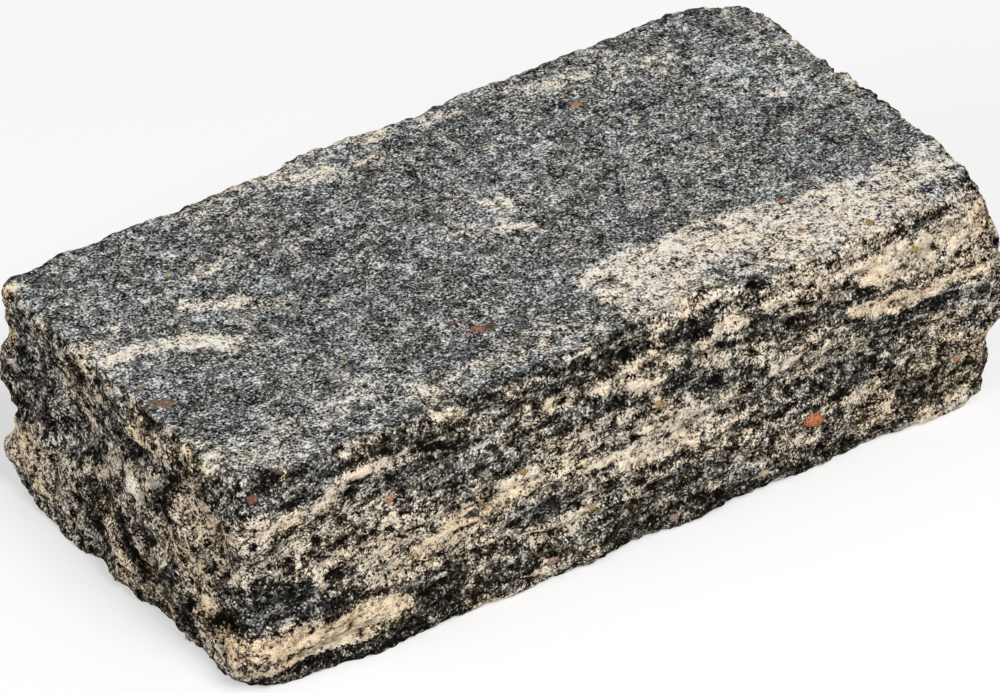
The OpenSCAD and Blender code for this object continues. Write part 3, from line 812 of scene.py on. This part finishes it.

    # Painted shade: hollows of the skin are darkened towards the pit colour, and pits are painted near
    # black; pits are narrow and deep on the split sides, more on the ends and in hollows, few on the
    # beds, and also dents of the bump
    pit_shade_colour = tuple(colours.painted_pit_shade)
    colour = m.mix(m.times(hollow_shade, m.fade(in_cream, 0.9, 0.6)), colour, pit_shade_colour)
    deep = m.plus(m.fade(split, 0.33, 0.385), m.times(hollow_shade, 0.12))
    deep = m.plus(deep, m.times(ends, m.times(split, 0.03)))
    deep = m.less(deep, m.times(in_cream, 0.04))
    shaded_pits = m.between(m.less(deep, m.noise(where, *PIT)), -0.032, 0.04)
    # Round pits in some grits of the split sides, also painted dark as shade
    round_pit_shade = m.times(m.between(grit_away, 0.42, 0.26), m.between(grit_toss[2], 0.95, 0.97))
    shaded_pits = m.larger(shaded_pits, m.times(round_pit_shade, m.times(split, 0.8)))
    colour = m.mix(m.times(shaded_pits, 0.9), colour, pit_shade_colour)

    # Height of the surface in millimetres, for the bump: round grains, clumps and pits
    height = m.plus(m.line(sand_away, 0.0, 0.75, 0.14, 0.0), m.times(fine, 0.5))
    height = m.plus(height, m.times(clump, m.fade(split, 0.3, 2.4)))
    height = m.less(height, m.times(shaded_pits, 0.5))
    m.rough_surface(colour, height, 1.0, 0.92, 0.03)
    return material


def stone_material():
    """Gravel of mixed colours, each stone with its own."""
    material = bpy.data.materials.new("gravel")
    m = NodeMaker(material)
    place = m.node("ShaderNodeTexCoord").outputs["Object"]
    own = m.stored("stone_colour").outputs["Color"]
    mottle = m.noise(place, 0.8 * MM, 3.0, 0.75)
    shade = m.line(mottle, 0.3, 0.7, 0.3, 1.5)
    colour = m.tinted(own, m.node("ShaderNodeCombineColor", Red=shade, Green=shade,
                                  Blue=shade).outputs[0])
    # Cement and dirt cling to the stones in specks
    specks = m.noise(place, 0.9 * MM, 3.0, 0.7)
    colour = m.mix(m.between(specks, 0.56, 0.64, 0.0, 0.8), colour, CEMENT)
    colour = m.mix(m.between(specks, 0.42, 0.36, 0.0, 0.85), colour, DIRT)
    m.rough_surface(colour, m.times(mottle, 0.5), 0.8, 0.7, 0.12)
    return material


class WALLBLOCK_OT_body(bpy.types.Operator):
    """Builds the block's body, with its split sides, flat beds and cream streaks"""
    bl_idname = "wallblock.body"
    bl_label = "Block body"

    def execute(self, context):
        skin = context.scene.wall_block_skin
        bm = bmesh.new()
        bm.from_mesh(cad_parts[NODE].data)
        bmesh.ops.remove_doubles(bm, verts=bm.verts, dist=0.01 * MM)
        body = new_piece("block_body", bm)
        remesh = body.modifiers.new("even_skin", "REMESH")
        remesh.mode = "VOXEL"
        remesh.voxel_size = skin.mesh_step
        remesh.adaptivity = 0
        apply_modifiers(body)
        split, outward = self.break_skin(body.data, skin)
        self.paint(body.data, split, outward)
        body.data.shade_smooth()
        body.data.materials.append(concrete_material(skin, context.scene.wall_block_colours))
        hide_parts(NODE)
        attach(body, "root")
        return {"FINISHED"}

    @staticmethod
    def split_share(co, no):
        """1 on the split sides and the arrises, 0 on the flat of the beds."""
        flat = smooth(0.93, 0.995, np.abs(no[:, 2]))
        near_bed = 1 - smooth(0.3 * MM, 0.9 * MM, np.minimum(co[:, 2] - LOW.z, HIGH.z - co[:, 2]))
        return 1 - flat * near_bed

    def break_skin(self, mesh, skin):
        """Moves the even skin in and out, and gives each point's share of split and its direction."""
        co, no = points_of(mesh)
        split = self.split_share(co, no)
        at = in_block(co)
        end = end_share(at)

        def uneven(widths, kind, octaves):
            return noise_at(co, [w * skin.lump_size for w in widths], SHIFTS[kind], octaves)

        lumps, ragged = uneven(LUMPS, "lumps", 3), uneven(RAGGED, "ragged", 2)
        pits = (1 - end) * uneven(PITS_OF_SIDES, "pits", 3)
        pits += end * uneven(PITS_OF_ENDS, "pits", 3)
        pits = smooth(0.15, 0.6, -pits)
        ledges = uneven(LEDGES, "ledges", 2) * (0.6 - 0.5 * end)
        beds = noise_at(co, (BED_LUMP,) * 3, SHIFTS["beds"], 2)
        rough = 1 + skin.end_roughness * end
        out = split * rough * (skin.split_lumps * (lumps + 0.7 * ragged + ledges)
                               - skin.split_pits * pits)
        out -= split * MM * streak_share(at, HOLES, EDGES["hole"])
        out += (1 - split) * skin.bed_relief * beds
        moved = co + no * out[:, None]
        moved[:, 2] = np.clip(moved[:, 2], LOW.z, HIGH.z)
        mesh.vertices.foreach_set("co", moved.ravel())
        mesh.update()
        add_number(mesh, "split_share", split)
        # How far each point lies below the middle of the broken skin; the material paints these
        # hollows dark as shade
        add_number(mesh, "hollow_shade", split * smooth(-0.1, -1.7, out / MM))
        return split, no

    def paint(self, mesh, split, no):
        """Stores which mix, tint and wear each point of the skin has."""
        at = in_block(points_of(mesh)[0])
        wave = np.stack([noise_at(at, WAVE, shift, 3) for shift in WAVE_SHIFTS], axis=1)
        at = at + wave * np.array(WAVE_REACH)
        sides = FRONT_STREAKS + END_STREAKS + hidden_streaks(*HIDDEN_CREAM)
        cream = np.maximum(streak_share(at, TOP_STREAKS, EDGES["top"]),
                           streak_share(at, sides, EDGES["side"]))
        cream = np.maximum(cream, streak_share(at, BLENDED, EDGES["blended"]))
        cream *= 1 - streak_share(at, DARK_GAPS, EDGES["gap"])
        # Black mix, and painted shade in holes, hollows and under the lower rim of the show face
        black = streak_share(at, BLACK_MIX_AND_SHADE + hidden_streaks(*HIDDEN_BLACK), EDGES["black"])
        not_cream = 1 - smooth(0.5, 0.9, cream)
        end = end_share(at)
        layers = (1 - end) * noise_at(at, LAYERS_OF_SIDES, SHIFTS["layers"], 3)
        layers += end * 1.2 * noise_at(at, LAYERS_OF_ENDS, SHIFTS["layers"], 2)
        clouds = noise_at(at, CLOUDS, SHIFTS["clouds"], 2)
        base = 0.16 + split * (0.12 * layers + 0.09 + 0.04 * end) + (1 - split) * 0.05 * clouds
        core = 1.0 - split * (0.14 - 0.12 * smooth(0.85, 1.0, cream))
        share = base + (core - base) * cream * (0.96 + 0.08 * clouds)
        share -= 0.3 * black * not_cream
        rust = streak_share(at, RUST_PATCHES + hidden_streaks(*HIDDEN_RUST), EDGES["rust"])
        arris = smooth(0.25, 0.6, np.abs(no[:, 2])) * split * smooth(0.25, 0.8, no[:, 2])
        pale = streak_share(at, PALE_PATCHES, EDGES["pale"])
        for name, values in (("cream_share", np.clip(share, 0, 1)),
                             ("black_or_shade_share", black * not_cream), ("rust", split * rust),
                             ("grey", streak_share(at, GREY_PATCHES, EDGES["grey"])),
                             ("end_share", end), ("wear", np.maximum(0.2 * arris, pale))):
            add_number(mesh, name, values)


class WALLBLOCK_OT_gravel(bpy.types.Operator):
    """Sets the stones of the mix into the block's skin"""
    bl_idname = "wallblock.gravel"
    bl_label = "Gravel"

    def execute(self, context):
        skin = context.scene.wall_block_skin
        self.rng = random.Random(skin.seed)
        body = bpy.data.objects["block_body"]
        self.tree = BVHTree.FromObject(body, context.evaluated_depsgraph_get())
        bm = bmesh.new()
        self.colours = bm.verts.layers.float_color.new("stone_colour")
        for (u, v, w), side, long_half, short_half, kind in SHOWN_STONES:
            middle = Vector((u - LENGTH / 2, v - DEPTH / 2, w)) * MM
            self.stone(bm, middle, side, long_half * MM, short_half * MM, kind,
                       PROUD_ON_BED if side == TOP else PROUD_ON_SIDE)
        for _ in range(skin.stones):
            self.scattered_stone(bm)
        gravel = new_piece("gravel", bm)
        gravel.data.shade_smooth()
        gravel.data.materials.append(stone_material())
        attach(gravel, "root")
        return {"FINISHED"}

    def scattered_stone(self, bm):
        """A small stone somewhere on one of the six sides, the more often the larger the side."""
        rng = self.rng
        sides = ((TOP, LENGTH * DEPTH), (-TOP, LENGTH * DEPTH), (FRONT, LENGTH * HEIGHT),
                 (-FRONT, LENGTH * HEIGHT), (LEFT, DEPTH * HEIGHT), (-LEFT, DEPTH * HEIGHT))
        side = rng.choices([s for s, _ in sides], [a for _, a in sides])[0]
        middle = Vector(((rng.random() - 0.5) * LENGTH, (rng.random() - 0.5) * DEPTH,
                         rng.random() * HEIGHT)) * MM
        long_half = rng.uniform(*SCATTERED_HALF) * MM
        self.stone(bm, middle, side, long_half, long_half * rng.uniform(0.55, 0.85),
                   rng.choice(COMMON_STONES), PROUD_SCATTERED)

    def stone(self, bm, middle, side, long_half, short_half, kind, proud):
        """A lumpy stone, sunk into the skin where a line from outside the middle meets it."""
        start = middle - side * middle.dot(side) + side * (0.2 + abs(middle.dot(side)))
        spot = self.tree.ray_cast(start, -side)[0]
        if spot is None:
            return
        rng = self.rng
        on_bed = abs(side.z) > 0.5
        made = bmesh.ops.create_icosphere(bm, subdivisions=2, radius=1.0)["verts"]
        turn = side.to_track_quat("Z", "X").to_matrix().to_4x4()
        # On a bed the first draw counts, on an upright side the second, round lying level
        spin = rng.uniform(-STONE_SPIN, STONE_SPIN)
        if not on_bed:
            spin = math.pi / 2 + rng.uniform(-STONE_SPIN, STONE_SPIN)
        thick = (THICK_ON_BED if on_bed else THICK_ON_SIDE) * short_half
        size = Matrix.Diagonal((long_half, short_half, thick, 1))
        sunk = spot - side * thick * (1 - proud)
        off = rng.uniform(0, 50)
        red, green, blue = linear(*STONE_COLOURS[kind])
        light = rng.uniform(0.8, 1.15)
        for v in made:
            v.co *= 1 + STONE_LUMPS * noise.fractal(
                v.co * STONE_LUMP_RATE + Vector((off, 0, 0)), STONE_FADE, NOISE_STEP, 2)
            v[self.colours] = (red * light, green * light, blue * light, 1)
        bmesh.ops.transform(bm, matrix=Matrix.Translation(sunk) @ turn @ Matrix.Rotation(
            spin, 4, "Z") @ size, verts=made)


class WALLBLOCK_OT_stage(bpy.types.Operator):
    """Sets up the pale floor, the soft lights and the camera"""
    bl_idname = "wallblock.stage"
    bl_label = "Stage"

    def execute(self, context):
        stage = context.scene.wall_block_stage
        self.camera(context, stage)
        self.floor(stage)
        self.lamp(stage.key_energy, *KEY_LAMP)
        self.lamp(stage.fill_energy, *FILL_LAMP)
        self.sky(context, stage)
        context.scene.view_settings.view_transform = "Standard"
        return {"FINISHED"}

    def camera(self, context, stage):
        """Places the camera by its angles round the block and its distance from its middle."""
        middle = Vector((0, 0, HEIGHT / 2)) * MM
        a, e, r = stage.azimuth, stage.elevation, stage.roll
        back = Vector((math.sin(a) * math.cos(e), -math.cos(a) * math.cos(e), math.sin(e)))
        level = Vector((math.cos(a), math.sin(a), 0))
        upright = back.cross(level)
        right = math.cos(r) * level + math.sin(r) * upright
        up = -math.sin(r) * level + math.cos(r) * upright
        aim = middle - right * AIM_LEFT * MM - up * AIM_BELOW * MM
        data = bpy.data.cameras.new("camera")
        data.lens, data.sensor_width, data.clip_end = stage.lens, SENSOR, FARTHEST
        camera = bpy.data.objects.new("camera", data)
        turned = Matrix((right, up, back)).transposed().to_4x4()
        camera.matrix_world = Matrix.Translation(aim + back * stage.distance) @ turned
        context.scene.collection.objects.link(camera)
        context.scene.camera = camera

    def floor(self, stage):
        """Lays a floor that looks white and takes a soft shadow."""
        bm = bmesh.new()
        bmesh.ops.create_grid(bm, x_segments=1, y_segments=1, size=stage.floor_size / 2)
        floor = new_piece("floor", bm)
        material = bpy.data.materials.new("floor_white")
        m = NodeMaker(material)
        straight = m.seen_directly()
        surface = m.node("ShaderNodeBsdfDiffuse", Color=m.mix(straight, FLOOR_GREY, WHITE))
        white = m.node("ShaderNodeEmission", Color=WHITE, Strength=1.0)
        glow = m.times(straight, FLOOR_GLOW)
        paler = m.node("ShaderNodeMixShader")
        for key, value in enumerate((glow, surface.outputs[0], white.outputs[0])):
            m.put(paler, key, value)
        m.finish("ShaderNodeOutputMaterial", paler.outputs[0])
        floor.data.materials.append(material)

    def lamp(self, energy, name, size, place):
        """A round soft lamp that points at the block."""
        data = bpy.data.lights.new(name, "AREA")
        data.energy, data.shape, data.size = energy, "DISK", size
        lamp = bpy.data.objects.new(name, data)
        look = place.to_track_quat("Z", "Y").to_matrix().to_4x4()
        lamp.matrix_world = Matrix.Translation(place) @ look
        bpy.context.scene.collection.objects.link(lamp)

    def sky(self, context, stage):
        """White where it is seen, and an even faint light on the block."""
        world = bpy.data.worlds.new("soft_sky")
        context.scene.world = world
        m = NodeMaker(world)
        strength = m.fade(m.seen_directly(), stage.sky, 1.0)
        light = m.node("ShaderNodeBackground", Color=WHITE, Strength=strength)
        m.finish("ShaderNodeOutputWorld", light.outputs[0])


class WALLBLOCK_PT_panel(bpy.types.Panel):
    """Lists the block's pieces and its stage"""
    bl_label = "Split wall block"
    bl_idname = "WALLBLOCK_PT_panel"
    bl_space_type = "VIEW_3D"
    bl_region_type = "UI"
    bl_category = "Wall block"

    def draw(self, context):
        scene = context.scene
        for group, operators in ((scene.wall_block_skin, ("wallblock.body", "wallblock.gravel")),
                                 (scene.wall_block_colours, ()),
                                 (scene.wall_block_stage, ("wallblock.stage",))):
            box = self.layout.box()
            for name in group.bl_rna.properties.keys():
                if name not in ("rna_type", "name"):
                    box.prop(group, name)
            for operator in operators:
                box.operator(operator)


CLASSES = (WallBlockSkin, WallBlockColours, WallBlockStage, WALLBLOCK_OT_body, WALLBLOCK_OT_gravel,
           WALLBLOCK_OT_stage, WALLBLOCK_PT_panel)


def register():
    for cls in CLASSES:
        bpy.utils.register_class(cls)
    bpy.types.Scene.wall_block_skin = PointerProperty(type=WallBlockSkin)
    bpy.types.Scene.wall_block_colours = PointerProperty(type=WallBlockColours)
    bpy.types.Scene.wall_block_stage = PointerProperty(type=WallBlockStage)


def unregister():
    del bpy.types.Scene.wall_block_stage
    del bpy.types.Scene.wall_block_colours
    del bpy.types.Scene.wall_block_skin
    for cls in reversed(CLASSES):
        bpy.utils.unregister_class(cls)


def main():
    register()
    bpy.ops.wallblock.stage()
    bpy.ops.wallblock.body()
    bpy.ops.wallblock.gravel()


if __name__ == "__main__":
    main()
